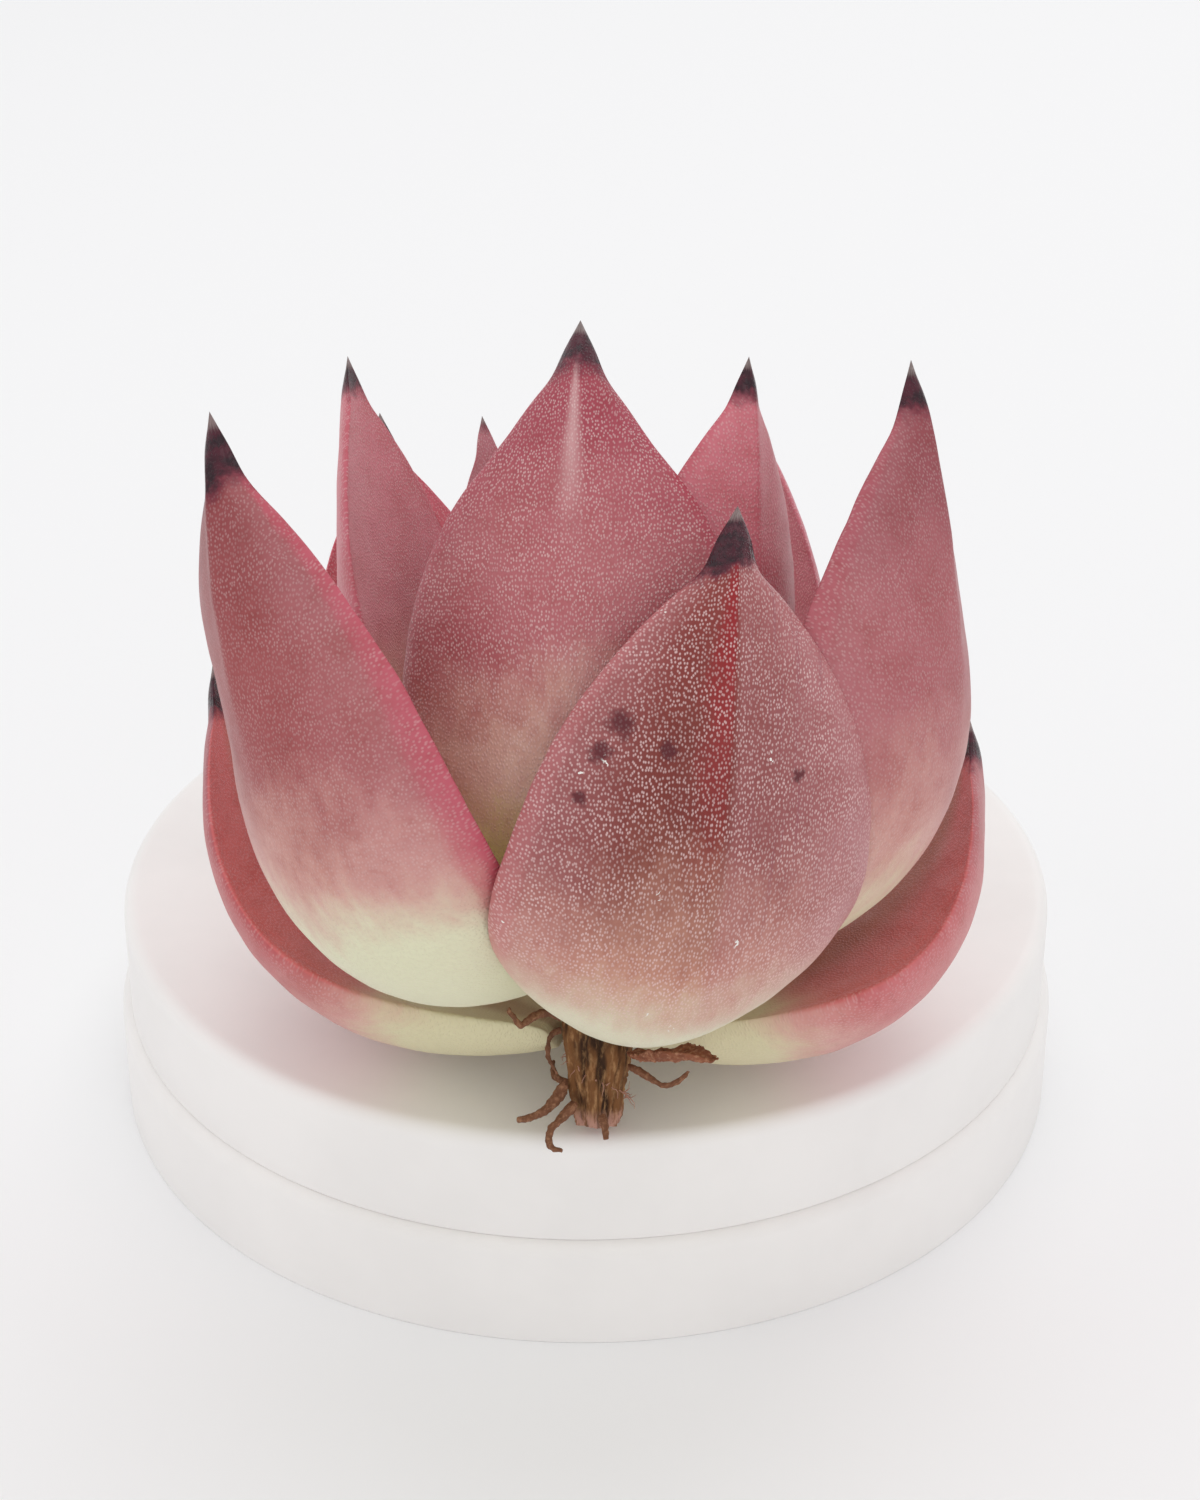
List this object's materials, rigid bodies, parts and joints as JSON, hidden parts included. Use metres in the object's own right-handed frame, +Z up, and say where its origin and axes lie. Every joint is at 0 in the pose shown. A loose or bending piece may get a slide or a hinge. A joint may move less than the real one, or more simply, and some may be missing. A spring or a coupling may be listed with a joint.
{
  "type": "bare-rooted succulent rosette on a round stand",
  "caption": "Pink succulent rosette with pointed dark-tipped leaves and bare roots, standing on its short stem and leaning back on a low round white stand.",
  "frame": {"origin": "centre of the stand's underside", "axes": "+Z up along the stand's axis, -Y towards the front edge that the plant's stem stands on, +X to the plant's right as seen from the front"},
  "size_m": [0.072, 0.086, 0.0705],
  "materials": {
    "leaf": "satin, dusty rose with near-black tips",
    "dry_leaf": "dry, rough",
    "bark": "rough, fibrous",
    "root": "rough, dry",
    "stand": "smooth, soft gloss"
  },
  "bodies": {
    "root": {"leaf_lower_right": "leaf", "leaf_lower_left": "leaf", "leaf_back": "leaf", "leaf_front": "leaf", "leaf_left": "leaf", "leaf_right": "leaf", "leaf_back_left": "leaf", "leaf_centre_front": "leaf", "leaf_back_right": "leaf", "leaf_inner_left": "leaf", "leaf_inner_right": "leaf", "leaf_inner_back": "leaf", "leaf_heart_outer": "leaf", "leaf_heart_inner": "leaf", "old_leaf_base": "dry_leaf", "stem": "bark", "root_left_upper": "root", "root_left_string": "root", "root_left_fork": "root", "root_left_hook": "root", "root_right_loop": "root", "root_front_stub": "root", "root_back_curl": "root", "stand_base": "stand", "stand_top": "stand"}
  },
  "joints": []
}
